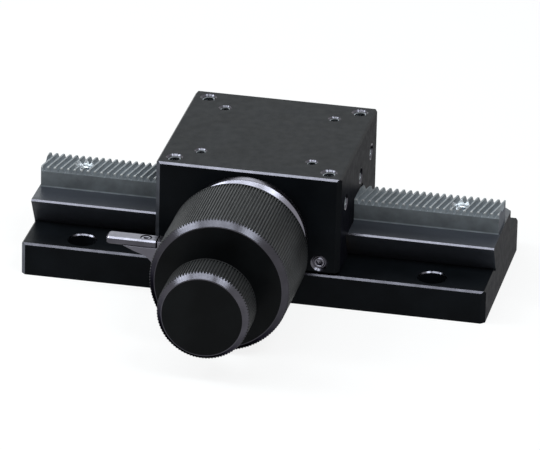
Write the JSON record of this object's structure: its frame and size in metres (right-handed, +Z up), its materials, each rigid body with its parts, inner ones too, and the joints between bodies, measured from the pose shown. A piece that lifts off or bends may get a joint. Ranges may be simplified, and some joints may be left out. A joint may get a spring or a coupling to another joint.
{
  "type": "rack and pinion dovetail stage",
  "caption": "Square carriage on a long dovetail rail, driven by a helical rack and pinion from coaxial coarse and fine knobs, with a brake lever behind them.",
  "frame": {"origin": "middle of the flat underside of the base rail", "axes": "+X along the rail, +Z up; the knobs point to -Y"},
  "size_m": [0.151, 0.1259, 0.0453],
  "materials": {
    "black_anodised": "satin black",
    "knurled_aluminium": "knurled, dark grey",
    "silver_aluminium": "plain, turned",
    "rack_steel": "blackened",
    "dark_steel": "blackened",
    "bright_steel": "bright",
    "bronze": "machined"
  },
  "bodies": {
    "base": {"base_rail": "black_anodised", "rack": "rack_steel", "rack_screws": "bright_steel"},
    "carriage": {"carriage_block": "black_anodised", "gib": "bronze", "gib_screws": "bright_steel", "gear_cover": "black_anodised", "gear_cover_screws": "bright_steel", "knob_shaft_bush": "bronze", "front_pinion_bush": "bronze", "rear_pinion_bush": "bronze", "rear_cap": "black_anodised", "race_cup": "black_anodised", "ball_race": "bright_steel", "race_nut": "dark_steel"},
    "pinion": {"pinion_shaft": "bright_steel", "rack_pinion": "dark_steel", "pinion_gear": "bronze", "retaining_ring": "dark_steel"},
    "coarse": {"ball_carrier": "bright_steel", "drive_gear": "bronze", "reduction_balls": "bright_steel", "coarse_knob": "knurled_aluminium", "coarse_set_screw": "dark_steel", "fine_shaft_bush": "bronze"},
    "fine": {"fine_shaft": "bright_steel", "fine_knob": "knurled_aluminium", "fine_set_screw": "dark_steel"},
    "lock": {"lock_ring": "silver_aluminium", "lock_lever": "silver_aluminium", "lever_screw": "bright_steel", "brake_washer": "bronze"}
  },
  "joints": [
    {"name": "carriage_slide", "type": "slide", "parent": "base", "child": "carriage", "axis": [1, 0, 0], "range_m": [-0.0432, 0.0468]},
    {"name": "pinion_turn", "type": "hinge", "parent": "carriage", "child": "pinion", "pos_m": [-0.0018, 0, 0.03245], "axis": [0, 1, 0], "range_deg": [-445, 482]},
    {"name": "coarse_turn", "type": "hinge", "parent": "carriage", "child": "coarse", "pos_m": [-0.0018, -0.03, 0.02291], "axis": [0, 1, 0], "range_deg": [-824, 761]},
    {"name": "fine_turn", "type": "hinge", "parent": "carriage", "child": "fine", "pos_m": [-0.0018, -0.03, 0.02291], "axis": [0, 1, 0], "range_deg": [-4115, 3799]},
    {"name": "lock_turn", "type": "hinge", "parent": "carriage", "child": "lock", "pos_m": [-0.0018, -0.03, 0.02291], "axis": [0, 1, 0], "range_deg": [0, 35]}
  ],
  "couplings": [
    {"joint": "pinion_turn", "follows": "carriage_slide", "rad_per_m": 178.57},
    {"joint": "coarse_turn", "follows": "carriage_slide", "rad_per_m": -306.12},
    {"joint": "fine_turn", "follows": "carriage_slide", "rad_per_m": -1530.6}
  ]
}
